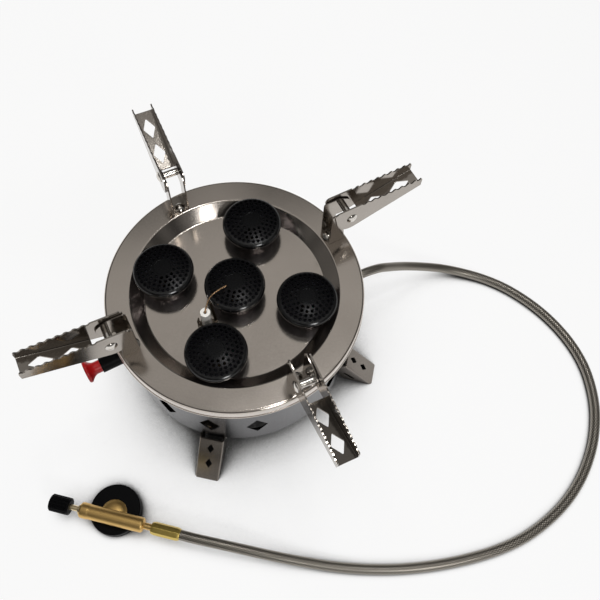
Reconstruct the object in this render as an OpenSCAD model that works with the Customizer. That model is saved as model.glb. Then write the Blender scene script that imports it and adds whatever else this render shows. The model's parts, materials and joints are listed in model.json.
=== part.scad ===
// Five-burner camping stove for a separate gas canister, ready to cook on.
// The origin is on the ground, under the middle burner. Legs point along X and Y,
// and the pot arms stand between them. Lengths are millimetres.

/* [Tray] */
// Outer diameter of the rim tray
tray_d = 180; // [160:1:220]
// Height of the rim above the ground
rim_h = 108; // [98:1:135]
// Thickness of the pressed sheets
sheet = 0.8; // [0.6:0.1:1.2]
// Width of the rim, from its outer edge to the top of the dish
rim_w = 17.3; // [15:0.1:21]
// Depth of the dish below the rim
dish_depth = 8; // [6:0.5:9.5]
// Horizontal run of the sloping wall of the dish
dish_run = 9; // [6:0.5:10]
// Height of the turned-down lip round the rim
lip_h = 10; // [6:0.5:14]
// Rounding of the tray's bends, on the outside
tray_bend = 2; // [1.5:0.1:3]

/* [Wind shield] */
// Gap between the lip of the tray and the wind shield
shield_gap = 4.7; // [3:0.1:6]
// Height of the wind shield's bottom edge above the ground
shield_bottom = 28; // [24:0.5:34]
// Width of a diamond vent
vent_w = 15.5; // [10:0.5:18]
// Height of a diamond vent
vent_h = 27; // [18:0.5:32]
// Height of the middle of the vents
vent_z = 56; // [52:0.5:64]
// Angle between neighbouring vents of one group of three
vent_step = 23; // [20:0.5:24]

/* [Burners] */
// Diameter of a burner cap
cap_d = 42; // [34:0.5:45]
// Distance from the middle burner to each outer burner
burner_pitch = 50.8; // [48:0.1:54]
// Height of the flat top of a cap above the rim
cap_rise = 10.2; // [9:0.1:11.5]
// Rise of a cap's crown above its rounded edge
crown = 2; // [1:0.1:3]
// Diameter of the plain disc in the middle of a cap
cap_disc_d = 11.5; // [9:0.5:13]
// Diameter of a flame hole
flame_d = 2; // [1.2:0.1:2.2]
// Radius of the innermost row of flame holes
flame_r = 8.3; // [7.8:0.1:8.8]
// Distance between rows of flame holes
flame_step = 3; // [2.5:0.1:3]
// Number of holes in the innermost row
flame_first = 14; // [10:1:14]
// Radius of the neck through the tray
neck_r = 9.3; // [8:0.1:10]
// Outer radius of a mixing tube
tube_r = 8; // [7:0.1:8.5]
// Height of the open lower ends of the mixing tubes
tube_bottom = 57; // [55:0.5:62]

/* [Gas manifold] */
// Height of the middle of the gas pipes
pipe_z = 46; // [42:0.5:48]
// Radius of a gas pipe
pipe_r = 4; // [3:0.1:5]
// Direction of the hose inlet
inlet_az = 37; // [32:0.5:50]
// Distance from the wind shield to the outer face of the hose ferrule
inlet_out = 21; // [20:0.5:30]

/* [Igniter] */
// Direction of the push button
igniter_az = 220.5; // [216:0.5:234]
// Height of the push button
igniter_z = 86; // [80:0.5:90]
// Distance from the wind shield to the face of the button
button_out = 30.5; // [27:0.5:38]
// Travel of the button
button_travel = 3.5; // [2:0.5:4]
// Diameter of the electrode's ceramic
ceramic_d = 7; // [4:0.5:8]
// Height of the ceramic's top above the rim
ceramic_rise = 10.5; // [9:0.5:12]

/* [Pot arms] */
// Length of an arm, from its swivel rivet to its tip
arm_len = 68; // [60:1:80]
// Height of the arms' level edges above the rim
arm_rise = 37.5; // [36:0.5:42]
// Width of an arm
arm_w = 15; // [12.5:0.5:18]
// Thickness of an arm and of its bracket
arm_sheet = 1; // [0.8:0.1:1.2]
// Height of an arm at its tip
arm_tip_h = 8; // [6.5:0.5:9]
// Distance from the edge of the tray in to the swivel rivets
rivet_in = 12; // [11.5:0.1:12.5]
// Distance from a swivel rivet out to its fold pin
fold_out = 12.8; // [12:0.1:14]
// Height of the fold pins above the rim
fold_rise = 25.2; // [24:0.1:27]
// Swing of the first arm on its rivet
swing_1 = -5; // [-10:0.5:8]
// Swing of the second arm
swing_2 = -9; // [-10:0.5:8]
// Swing of the third arm
swing_3 = -8; // [-10:0.5:8]
// Swing of the fourth arm
swing_4 = -8.5; // [-10:0.5:8]
// Number of teeth along each upper edge
arm_teeth = 9; // [5:1:10]
// Distance between teeth
tooth_pitch = 5.4; // [4:0.1:5.6]
// Depth of the teeth
tooth_depth = 1.4; // [0.8:0.1:2]

/* [Legs] */
// Distance from the edge of the tray out to the toe of a leg
toe_out = 21.5; // [16:0.5:28]
// Width of a leg
leg_w = 18.5; // [14.5:0.5:21]
// Thickness of a leg and of its lugs
leg_sheet = 1; // [0.8:0.1:1.2]

/* [Hose and valve] */
// Outer diameter of the hose
hose_d = 7.5; // [6:0.5:8]
// Height of the valve's axis above the ground
valve_z = 14.4; // [14.4:0.1:16]
// Diameter of the valve's body
valve_d = 10.8; // [9.5:0.1:11.2]
// Diameter of the valve's knob
knob_d = 12.4; // [11:0.1:14]
// Length of the knob
knob_len = 15; // [14:0.5:24]
// Diameter of the collar that sits on the canister
collar_d = 37; // [34:0.5:42]
// Height of the collar
collar_h = 8.5; // [8:0.5:8.5]
// Radius of the threaded socket for the canister
socket_r = 5.5; // [5.3:0.1:5.8]
// Length of the threaded wall of the socket
socket_len = 7; // [6:0.5:7]

/* [Fits] */
// Radial clearance of a pin that turns in its hole
run_gap = 0.08; // [0.05:0.01:0.1]
// Gap between sheets that pass each other
side_gap = 0.3; // [0.3:0.05:0.5]

/* [Hidden] */
$fn = 64;
tray_r = tray_d / 2;
rivet_r = tray_r - rivet_in;
fold_r = rivet_r + fold_out;
arm_reach = rivet_r + arm_len;
toe_r = tray_r + toe_out;
floor_z = rim_h - dish_depth;
rim_in_r = tray_r - rim_w;
dish_r = rim_in_r - dish_run;
dish_a = atan2(dish_depth, dish_run);
shield_r = tray_r - sheet - shield_gap;
inlet_reach = shield_r + inlet_out;
button_reach = shield_r + button_out;
base_z = shield_bottom + sheet;
base_top = base_z + sheet;
cap_r = cap_d / 2;
cap_top = rim_h + cap_rise;
cap_edge = 1.5;
cap_skirt = 3;
crown_r = ((cap_r - cap_edge) * (cap_r - cap_edge) + crown * crown) / (2 * crown);
cup_top = cap_top - crown - cap_edge - 0.2;
cup_wall = 1.2;
nut_h = 4;
nut_r = 13.8;
pipe_bore = pipe_r - 1.5;
hub_r = 9;
seat_r = 6.5;
hub_half = 6;
jet_r = 3;
swing = [swing_1, swing_2, swing_3, swing_4];
web_in = fold_r + 11.2;
arm_in = rivet_r - 0.5;
arm_end_r = 11.5;
arm_web_z = arm_rise - arm_tip_h;
web_a = 16.5;
ear_out = arm_w / 2 - arm_sheet - side_gap;
ear_in = ear_out - arm_sheet;
pin_r = 2;
pin_mid_r = 2.5;
pin_head_r = 4;
rivet_pin_r = 2;
teeth_from = arm_reach - arm_teeth * tooth_pitch - 0.6;
leg_pivot = [tray_r - 10, shield_bottom - 6];
leg_top = [tray_r - 2, shield_bottom - 1];
leg_toe = [toe_r, 0];
leg_heel = [tray_r - 2, 1.5];
leg_pin_r = 2;
lug_out = leg_w / 2 - leg_sheet - side_gap;
lug_in = lug_out - leg_sheet;
union_hex = 14;
union_r = 5;
ferrule_len = 14;
ferrule_r = 4.8;
ferrule_end_r = 4.15;
igniter_r = 5.5;
igniter_end = button_reach - 11;
igniter_inner = shield_r - 22.5;
stem_r = 4.4;
electrode_xy = [-13.3, -27];
ceramic_top = rim_h + ceramic_rise;
ceramic_bottom = floor_z - 9;
collar_xy = [-58.7, -148.6];
valve_y = -155.2;
valve_az = -1.5;
valve_r = valve_d / 2;
valve_start = -6.2;
ferrule_end = -27.7;
body_start = -33.6;
body_end = -81.7;
gland_end = -83;
knob_start = -89.2;
gland_r = 3.6;
valve_neck_r = 2.4;
boss_r = 7.3;
saddle_r = 9.4;
saddle_xy = [-58.6, -151];
saddle_h = 1.2;
socket_z = 0.5;
socket_top = socket_z + socket_len;
seal_groove = 1.5;
spindle_r = 2;
lie_z = hose_d / 2 + 0.1;

// Hose route after its straight start, from the inlet down and round to the valve
hose_way = [
    [98.7, 74.4, 43.5], [107.3, 81.2, 37], [120, 90.5, 27], [136, 99, 17.5],
    [153, 105.4, 10], [171, 108.1, 5.5], [190, 107.3, lie_z], [208.7, 103, lie_z],
    [226.4, 95.7, lie_z], [243.5, 85.7, lie_z], [258.8, 73.3, lie_z],
    [271.6, 59.1, lie_z], [281.6, 42.9, lie_z], [288, 25, lie_z], [291.3, 6, lie_z],
    [291, -14, lie_z], [287.6, -33, lie_z], [281.1, -52.3, lie_z],
    [271.1, -71.1, lie_z], [257.6, -88.5, lie_z], [241.3, -104.2, lie_z],
    [222, -117.4, lie_z], [200.5, -128.4, lie_z], [178.2, -137.5, lie_z],
    [155.1, -144.8, lie_z], [132, -150, lie_z], [109, -153.4, 4.6], [87, -155.1, 6.6],
    [65, -156.2, 9.6], [43, -156.6, 12.3], [22, -156.8, 14],
];

// Points along an arc about c, from angle a0 to a1
function arc_pts(c, r, a0, a1, n = 8) =
    [for (i = [0:n]) let (a = a0 + (a1 - a0) * i / n) c + r * [cos(a), sin(a)]];

// Angle at which a line from point q touches the circle of radius r about p
function touch_a(p, q, r, side) =
    atan2(q.y - p.y, q.x - p.x) + side * acos(r / norm(q - p));

// Turns a point about the Z axis
function turned(p, a) = [p.x * cos(a) - p.y * sin(a), p.x * sin(a) + p.y * cos(a), p.z];

function unit(v) = v / norm(v);

// Height of the underside of an arm's web at distance s from the stove's axis
function web_z(s) = arm_web_z - (arm_reach - s) * tan(web_a);

// Places its children at a distance from the stove's axis
module around(az, r = 0, z = 0) {
    rotate([0, 0, az]) translate([r, 0, z]) children();
}

// Sheet-metal outline in the plane of the stove's axis, extruded across it
module cross_plate(points, width) {
    rotate([90, 0, 0]) linear_extrude(width, center = true) polygon(points);
}

// Cylinder along X
module rod(r, length) {
    rotate([0, 90, 0]) cylinder(r = r, h = length);
}

// Cylinder along Y, centred
module cross_rod(r, length) {
    rotate([90, 0, 0]) cylinder(r = r, h = length, center = true);
}

module diamond(w, h, depth) {
    linear_extrude(depth, center = true)
        polygon([[w / 2, 0], [0, h / 2], [-w / 2, 0], [0, -h / 2]]);
}

// Diamond with its two side corners cut off
module lozenge(w, h, flat, depth) {
    linear_extrude(depth, center = true) polygon([
        [w / 2, 0], [flat / 2, h / 2], [-flat / 2, h / 2],
        [-w / 2, 0], [-flat / 2, -h / 2], [flat / 2, -h / 2],
    ]);
}

module hexagon(flats, h) {
    cylinder(d = flats / cos(30), h = h, $fn = 6);
}

// Domed head of a rivet or pin, flat side down
module dome(r, h) {
    ball = (r * r + h * h) / (2 * h);
    intersection() {
        translate([0, 0, h - ball]) sphere(r = ball);
        cylinder(r = r, h = h);
    }
}

// Round tube or cord along points, with square ends
module cord(points, r, sides) {
    count = len(points);
    ahead = [for (i = [0:count - 1])
        unit(points[min(i + 1, count - 1)] - points[max(i - 1, 0)])];
    flat = [for (a = ahead)
        unit(abs(a.z) > 0.9 ? cross(a, [0, 1, 0]) : cross(a, [0, 0, 1]))];
    rings = [for (i = [0:count - 1]) for (k = [0:sides - 1])
        let (t = 360 * k / sides)
        points[i] + r * (cos(t) * flat[i] + sin(t) * cross(flat[i], ahead[i]))];
    skin = [for (i = [0:count - 2]) for (k = [0:sides - 1])
        let (a = i * sides + k, b = i * sides + (k + 1) % sides)
        [a, b, b + sides, a + sides]];
    ends = [
        [for (k = [sides - 1:-1:0]) k],
        [for (k = [0:sides - 1]) (count - 1) * sides + k],
    ];
    polyhedron(points = rings, faces = concat(skin, ends), convexity = 8);
}

module each_burner() {
    children();
    for (az = [0:90:270]) around(az, burner_pitch) children();
}

// Place of burner k: the middle one, then the four round it
module burner_at(k) {
    if (k == 0) children();
    else around(90 * (k - 1), burner_pitch) children();
}

module rim_tray() {
    low = dish_r - tray_bend * tan(dish_a / 2);
    high = rim_in_r + tray_bend * tan(dish_a / 2);
    outer = tray_r - tray_bend;
    upper_z = rim_h - tray_bend;
    lower_z = floor_z + tray_bend;
    hem_r = 0.9;
    hem_a = acos(sheet / 2 / hem_r);
    outline = concat(
        [[0, floor_z]],
        arc_pts([low, lower_z], tray_bend, -90, dish_a - 90),
        arc_pts([high, upper_z], tray_bend, 90 + dish_a, 90),
        arc_pts([outer, upper_z], tray_bend, 90, 0),
        arc_pts([tray_r - sheet / 2, rim_h - lip_h + hem_r], hem_r, hem_a, -180 - hem_a, 12),
        arc_pts([outer, upper_z], tray_bend - sheet, 0, 90),
        arc_pts([high, upper_z], tray_bend - sheet, 90, 90 + dish_a),
        arc_pts([low, lower_z], tray_bend + sheet, dish_a - 90, -90),
        [[0, floor_z - sheet]]
    );
    color("#8d867e") difference() {
        rotate_extrude($fn = 128) polygon(outline);
        each_burner() translate([0, 0, floor_z - 5]) cylinder(r = neck_r + 0.05, h = 10);
        translate([electrode_xy.x, electrode_xy.y, floor_z - 5])
            cylinder(d = ceramic_d + 0.1, h = 10);
        for (k = [0:3]) around(45 + 90 * k, rivet_r, rim_h - 5)
            cylinder(r = rivet_pin_r + 0.02, h = 10);
    }
}

module wind_shield() {
    top = rim_h - sheet;
    flange_r = rivet_r - 2.5;
    color("#5d5d60") difference() {
        rotate_extrude($fn = 128) polygon([
            [shield_r, shield_bottom], [shield_r, top], [flange_r, top],
            [flange_r, top - sheet], [shield_r - sheet, top - sheet],
            [shield_r - sheet, base_z], [shield_r - 6.5, base_z],
            [shield_r - 6.5, shield_bottom],
        ]);
        for (az = [0:90:270]) for (side = [-1:1]) around(az + side * vent_step, shield_r, vent_z)
            rotate([90, 0, 90]) diamond(vent_w, vent_h, 10);
        for (k = [0:3]) around(45 + 90 * k, rivet_r, top - 5)
            cylinder(r = rivet_pin_r + 0.02, h = 10);
        around(inlet_az, shield_r - 5, pipe_z) rod(union_r + 0.05, 10);
        around(igniter_az, shield_r - 5, igniter_z) rod(igniter_r - 0.45, 10);
        lug_rivet_places() translate([0, 0, shield_bottom - 5]) cylinder(r = 1.55, h = 12);
    }
}

module lug_rivet_places() {
    for (az = [0:90:270]) for (side = [-1, 1])
        rotate([0, 0, az]) translate([shield_r - 3.7, side * 4, 0]) children();
}

// Raised rib along one arm of the cross member, from foot upwards
module strap_rib(half, foot) {
    rise = 1.3;
    translate([14, 0, foot]) rotate([90, 0, 90]) linear_extrude(shield_r - 28)
        polygon([[-half, -sheet], [-half, 0], [-half + 1.5, rise], [half - 1.5, rise], [half, 0],
            [half, -sheet]]);
}

// Cross member under the burners, riveted to the wind shield's bottom flange
module base_plate() {
    strap_w = 22;
    color("#6f6c68") difference() {
        intersection() {
            union() {
                for (az = [0, 90]) rotate([0, 0, az]) translate([0, 0, base_z + sheet / 2])
                    cube([tray_d, strap_w, sheet], center = true);
                translate([0, 0, base_z]) cylinder(r = strap_w * 0.75, h = sheet);
                for (az = [0:90:270]) rotate([0, 0, az]) strap_rib(4, base_top);
            }
            translate([0, 0, base_z - 1]) cylinder(r = shield_r - 1.2, h = 10);
        }
        for (az = [0:90:270]) rotate([0, 0, az]) strap_rib(3.7, base_z);
        lug_rivet_places() translate([0, 0, base_z - 5]) cylinder(r = 1.55, h = 10);
        translate([0, 0, base_z - 5]) cylinder(r = 2.05, h = 10);
    }
}

module leg_lugs() {
    plate_in = shield_r - 13;
    low = leg_pivot.y - 3.5;
    color("#77716a") for (az = [0:90:270]) rotate([0, 0, az]) difference() {
        translate([plate_in, -lug_out, low])
            cube([shield_r - 0.5 - plate_in, 2 * lug_out, shield_bottom - low]);
        translate([plate_in - 1, -lug_in, low - 1])
            cube([15, 2 * lug_in, shield_bottom - low + 1 - leg_sheet]);
        translate([leg_pivot.x, 0, leg_pivot.y])
            cross_rod(leg_pin_r + 0.02, 2 * lug_out + 2);
        for (side = [-1, 1]) translate([shield_r - 3.7, side * 4, shield_bottom - 5])
            cylinder(r = 1.55, h = 10);
        translate([shield_r - 0.5, 0, low - 2]) rotate([0, -45, 0])
            cube([8, 40, 4], center = true);
    }
}

module lug_rivets() {
    color("#a8a29a") lug_rivet_places() {
        translate([0, 0, shield_bottom - leg_sheet])
            cylinder(r = 1.5, h = base_top - shield_bottom + leg_sheet);
        translate([0, 0, base_top]) dome(2.6, 1.2);
        translate([0, 0, shield_bottom - leg_sheet]) mirror([0, 0, 1]) dome(2.2, 1);
    }
}

// Cast cup with its neck and mixing tube, open at both ends
module burner_cup(k) {
    lip_r = cap_r - sheet - 0.02;
    bore = tube_r - 1.5;
    color("#2a2a2e") burner_at(k) rotate_extrude() polygon([
        [lip_r, cup_top], [lip_r, cup_top - 3.5], [0.82 * lip_r, floor_z + 4.2],
        [0.69 * lip_r, floor_z + 1.9], [neck_r + 2.2, floor_z], [neck_r, floor_z],
        [neck_r, floor_z - nut_h - 3],
        [tube_r, floor_z - nut_h - 4], [tube_r, tube_bottom], [bore, tube_bottom],
        [bore, floor_z], [0.72 * lip_r, floor_z + 4.8], [lip_r - cup_wall, cup_top - 3],
        [lip_r - cup_wall, cup_top],
    ]);
}

// Height of a cap's crown at radius r, on the outside
function crown_z(r) = cap_top - crown_r + sqrt(crown_r * crown_r - r * r);

// Perforated cap, pressed over the edge of its cup
module burner_cap(k) {
    edge = cap_r - cap_edge;
    edge_z = cap_top - crown - cap_edge;
    disc_r = cap_disc_d / 2;
    last_r = flame_r + 3.5 * flame_step;
    bends = concat([disc_r + 0.3], [for (row = [1:3]) flame_r + (row - 0.5) * flame_step],
        [min(edge, last_r)]);
    outline = concat(
        [[0, cap_top - 0.35], [disc_r, cap_top - 0.35]],
        [for (r = bends) [r, crown_z(r)]],
        arc_pts([edge, edge_z], cap_edge, 78, 0, 6),
        [[cap_r, edge_z - cap_skirt], [cap_r - sheet, edge_z - cap_skirt]],
        [[cap_r - sheet, edge_z - 0.2], [cap_r - sheet - cup_wall, edge_z - 0.2]],
        [for (i = [3:-1:0]) [bends[i + 1] - 0.1, crown_z(bends[i + 1]) - sheet]],
        [[disc_r - 0.3, cap_top - 0.35 - sheet], [0, cap_top - 0.35 - sheet]]
    );
    color("#1c1c20") burner_at(k) difference() {
        rotate_extrude() polygon(outline);
        for (row = [0:3]) {
            holes = flame_first + 6 * row;
            for (i = [0:holes - 1]) rotate([0, 0, 360 * (i + row / 2) / holes])
                translate([flame_r + flame_step * row, 0, cap_top - crown - 3])
                cylinder(d = flame_d, h = 8, $fn = 24);
        }
    }
}

module cup_nuts() {
    color("#8c8c90") each_burner() translate([0, 0, floor_z - sheet - nut_h]) difference() {
        cylinder(r = nut_r, h = nut_h, $fn = 6);
        translate([0, 0, -1]) cylinder(r = neck_r + 0.05, h = nut_h + 2);
    }
}

// Cross of pipes with a seat for a jet under each burner
module gas_manifold() {
    color("#9c8a54") difference() {
        union() {
            translate([0, 0, pipe_z - hub_half]) cylinder(r = hub_r, h = 2 * hub_half);
            for (az = [0:90:270]) {
                around(az, 0, pipe_z) rod(pipe_r, burner_pitch);
                around(az, burner_pitch, pipe_z - hub_half) cylinder(r = seat_r, h = 2 * hub_half);
            }
            around(inlet_az, 0, pipe_z) rod(pipe_r, shield_r - 14);
            around(inlet_az, shield_r - 24, pipe_z) rod(6.4, 10);
        }
        for (az = [0:90:270]) around(az, 0, pipe_z) rod(pipe_bore, burner_pitch);
        around(inlet_az, 0, pipe_z) rod(pipe_bore, shield_r);
        around(inlet_az, shield_r - 20, pipe_z) rod(union_r + 0.02, 20);
        each_burner() translate([0, 0, pipe_z]) cylinder(r = jet_r + 0.02, h = hub_half + 1);
        translate([0, 0, pipe_z - hub_half - 1]) cylinder(r = 2.02, h = 4);
    }
}

module gas_jets() {
    top = pipe_z + hub_half;
    color("#c2a04a") each_burner() difference() {
        union() {
            translate([0, 0, top - 4]) cylinder(r = jet_r, h = 4);
            translate([0, 0, top]) hexagon(7, 2.2);
            translate([0, 0, top + 2.2]) cylinder(r1 = 2.6, r2 = 1.4, h = 2);
        }
        translate([0, 0, top - 5]) cylinder(r = 1.2, h = 8);
        translate([0, 0, top]) cylinder(r = 0.4, h = 6);
    }
}

module manifold_post() {
    bottom = base_top;
    top = pipe_z - hub_half;
    color("#87837c") union() {
        translate([0, 0, bottom]) cylinder(r = 9, h = 1.5);
        translate([0, 0, bottom]) cylinder(r = 4.5, h = top - bottom);
        translate([0, 0, top]) cylinder(r = 2, h = 2.5);
        translate([0, 0, base_z]) cylinder(r = 2, h = sheet);
        translate([0, 0, base_z]) mirror([0, 0, 1]) dome(4, 1);
    }
}

module inlet_union() {
    start = shield_r - 20;
    end = inlet_reach - ferrule_len;
    color("#b8983f") around(inlet_az, 0, pipe_z) difference() {
        union() {
            translate([start, 0, 0]) rod(union_r, end - start);
            translate([shield_r, 0, 0]) rotate([0, 90, 0]) hexagon(union_hex, 5);
        }
        translate([start - 1, 0, 0]) rod(2.2, end - start + 2);
    }
}

// Distance from the stove's axis at which a flat nut of radius r meets the shield inside
function nut_seat(r) = sqrt(pow(shield_r - sheet, 2) - r * r);

module inlet_nut() {
    color("#b8983f") around(inlet_az, nut_seat(8.1) - 3.5, pipe_z) difference() {
        rotate([0, 90, 0]) hexagon(union_hex, 3.5);
        translate([-1, 0, 0]) rod(union_r + 0.05, 6);
    }
}

// Eight-sided crimped ferrule along X, tapered at both ends
module ferrule(length) {
    taper = 2.5;
    rotate([0, 90, 0]) {
        cylinder(r1 = ferrule_end_r, r2 = ferrule_r, h = taper, $fn = 8);
        translate([0, 0, taper]) cylinder(r = ferrule_r, h = length - 2 * taper, $fn = 8);
        translate([0, 0, length - taper])
            cylinder(r1 = ferrule_r, r2 = ferrule_end_r, h = taper, $fn = 8);
    }
}

module stove_ferrule() {
    start = inlet_reach - ferrule_len;
    color("#a8983a") around(inlet_az, start, pipe_z) difference() {
        ferrule(ferrule_len);
        translate([-1, 0, 0]) rod(2.2, ferrule_len - 2);
    }
}

// Clip round the ceramic, with a tab and a leaning earth strip that stops by the spark gap
module electrode_clip() {
    ring = ceramic_d / 2 + 0.05;
    strip_foot = [5.2, 3.6];
    strip_lean = [-4.4, 4.9];
    strip_h = ceramic_top - floor_z - 1.5;
    lean_az = atan2(strip_lean.y, strip_lean.x);
    lean = norm(strip_lean);
    foot_az = atan2(strip_foot.y, strip_foot.x);
    color("#a39d94") translate([electrode_xy.x, electrode_xy.y, floor_z]) {
        difference() {
            union() {
                cylinder(r = ring + 1.2, h = sheet);
                cylinder(r = ring + sheet, h = 3);
                translate([-6.2, -2.5, 0]) cube([4, 3, sheet]);
                rotate([0, 0, foot_az]) translate([2, -1.5, 0])
                    cube([norm(strip_foot) - 1.2, 3, sheet]);
            }
            translate([0, 0, -1]) cylinder(r = ring, h = 10);
        }
        translate([-6.2, -2.5, 0]) cube([sheet, 3, 6]);
        translate([strip_foot.x, strip_foot.y, 0]) rotate([0, 0, lean_az])
            cross_plate([[-sheet, 0], [0, 0], [lean, strip_h], [lean - sheet, strip_h]], 2);
    }
}

module electrode_ceramic() {
    color("#f2efe8") translate([electrode_xy.x, electrode_xy.y, 0]) difference() {
        union() {
            translate([0, 0, ceramic_bottom])
                cylinder(d = ceramic_d, h = ceramic_top - ceramic_bottom - 1);
            translate([0, 0, ceramic_top - 1]) cylinder(d1 = ceramic_d, d2 = ceramic_d - 2, h = 1);
        }
        translate([0, 0, ceramic_bottom - 1]) cylinder(r = 0.85, h = 60);
    }
}

module electrode_wire() {
    e = electrode_xy;
    over = max(ceramic_top, cap_top) + 2.3;
    color("#b9b4aa") cord([
        [e.x, e.y, ceramic_bottom + 2], [e.x, e.y, ceramic_top - 1], [e.x, e.y + 0.3, ceramic_top],
        [e.x, e.y + 1.5, over - 0.9], [e.x + 0.1, e.y + 3.5, over - 0.2],
        [e.x + 0.5, e.y + 8.9, over], [e.x + 2.2, e.y + 13.2, over - 0.2],
        [e.x + 9.1, e.y + 21.8, over - 1.1],
    ], 0.6, 8);
}

// Lead from the igniter to the foot of the ceramic
module ignition_lead() {
    e = electrode_xy;
    start = turned([igniter_inner, 0, igniter_z], igniter_az);
    color("#8c2f22") cord([
        start, turned([igniter_inner - 5, 0, igniter_z], igniter_az),
        [-34, -31.5, igniter_z - 1.5], [-24.5, -28.5, igniter_z - 3],
        [-18, -27.3, igniter_z - 2.5], [-14.2, e.y, igniter_z - 0.5],
        [e.x, e.y, ceramic_bottom - 2.5], [e.x, e.y, ceramic_bottom],
    ], 1.2, 8);
}

module igniter_body() {
    color("#17171a") around(igniter_az, 0, igniter_z) difference() {
        union() {
            translate([igniter_inner, 0, 0]) rod(igniter_r - 0.5, igniter_end - igniter_inner);
            translate([shield_r, 0, 0]) rod(igniter_r, igniter_end - shield_r);
            translate([shield_r, 0, 0]) rod(igniter_r + 2, 2);
        }
        translate([igniter_end - 4 - button_travel, 0, 0]) rod(stem_r + run_gap, 12);
    }
}

module igniter_nut() {
    color("#a09a90") around(igniter_az, nut_seat(8.7) - 3, igniter_z) difference() {
        rotate([0, 90, 0]) hexagon(15, 3);
        translate([-1, 0, 0]) rod(igniter_r - 0.45, 6);
    }
}

// Flared push button; its stem slides in the igniter's body
module igniter_button() {
    start = igniter_end - 3.5;
    flare = button_reach - start;
    color("#c01818") around(igniter_az, start, igniter_z) rotate([0, 90, 0]) rotate_extrude()
        polygon(concat(
            [[0, 0], [stem_r, 0], [stem_r, 3.5 + button_travel + 0.2]],
            [for (i = [1:6]) let (t = i / 6)
                [stem_r + 3.6 * t * t, 3.7 + button_travel + (flare - 5.7 - button_travel) * t]],
            [[8, flare - 0.6], [7.4, flare], [0, flare]]
        ));
}

// Puts its children on arm k, drawn at azimuth 0, with the arm's swing about its rivet
module arm_at(k) {
    around(45 + 90 * k, rivet_r) rotate([0, 0, swing[k]]) translate([-rivet_r, 0, 0]) children();
}

module arm_bracket(k) {
    low = rim_h + run_gap;
    in_s = rivet_r - 2.5;
    out_s = rivet_r + 9.5;
    head_r = 6.2;
    pivot = [fold_r, rim_h + fold_rise];
    ear_top = rim_h + arm_rise - 3;
    outline = concat(
        [[in_s, low], [out_s, low], [out_s - 1.5, rim_h + 16]],
        arc_pts(pivot, head_r, -110, 55, 10),
        [[pivot.x - 3, ear_top], [in_s + 1.5, ear_top], [in_s, ear_top - 1.5]]
    );
    color("#8f887f") arm_at(k) difference() {
        cross_plate(outline, 2 * ear_out);
        translate([in_s - 1, -ear_in, low + arm_sheet]) cube([40, 2 * ear_in, 60]);
        translate([rivet_r, 0, low - 1]) cylinder(r = rivet_pin_r + run_gap, h = 5);
        translate([pivot.x, 0, pivot.y]) cross_rod(pin_r + 0.02, 40);
    }
}

module bracket_rivets() {
    bottom = rim_h - 2 * sheet;
    head = rim_h + arm_sheet + 2 * run_gap;
    color("#b5afa6") for (k = [0:3]) around(45 + 90 * k, rivet_r) {
        translate([0, 0, bottom]) cylinder(r = rivet_pin_r, h = head - bottom);
        translate([0, 0, head]) dome(3.8, 1.8);
        translate([0, 0, bottom]) mirror([0, 0, 1]) cylinder(r = 3, h = 1);
    }
}

// Folding channel that carries the pot, open upwards, with toothed edges
module arm(k) {
    pivot = [fold_r, rim_h + fold_rise];
    top = rim_h + arm_rise;
    corner = [arm_in - 0.5, top - 3];
    touch = touch_a(pivot, corner, arm_end_r, 1);
    teeth = [for (i = [0:arm_teeth - 1]) each [
        [teeth_from + i * tooth_pitch, top],
        [teeth_from + (i + 0.5) * tooth_pitch, top - tooth_depth],
    ]];
    outline = concat(
        teeth,
        [[arm_reach - 0.6, top], [arm_reach, top - 0.6], [arm_reach, rim_h + arm_web_z]],
        arc_pts(pivot, arm_end_r, web_a - 90, touch - 360, 12),
        [corner, [arm_in + 2, top]]
    );
    skin = arm_sheet / cos(web_a);
    color("#958e85") arm_at(k) difference() {
        cross_plate(outline, arm_w);
        cross_plate([
            [60, rim_h], [web_in, rim_h], [web_in, rim_h + web_z(web_in) + skin],
            [arm_reach + 5, rim_h + web_z(arm_reach + 5) + skin],
            [arm_reach + 5, top + 9], [60, top + 9],
        ], arm_w - 2 * arm_sheet);
        for (s = [arm_reach - 32, arm_reach - 12.5])
            translate([s, 0, rim_h + web_z(s)]) rotate([0, -web_a, 0]) lozenge(13, 8.5, 3.5, 6);
        translate([pivot.x, 0, pivot.y]) cross_rod(pin_r + run_gap, 40);
    }
}

// Fold pin, thicker between the ears, with a domed head outside each side of the arm
module arm_pin(k) {
    half = arm_w / 2 + 0.12;
    color("#b5afa6") arm_at(k) translate([fold_r, 0, rim_h + fold_rise]) {
        cross_rod(pin_r, 2 * half);
        cross_rod(pin_mid_r, 2 * ear_in - 0.04);
        for (side = [-1, 1]) translate([0, side * half, 0]) rotate([-90 * side, 0, 0])
            dome(pin_head_r, 1.8);
    }
}

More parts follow.
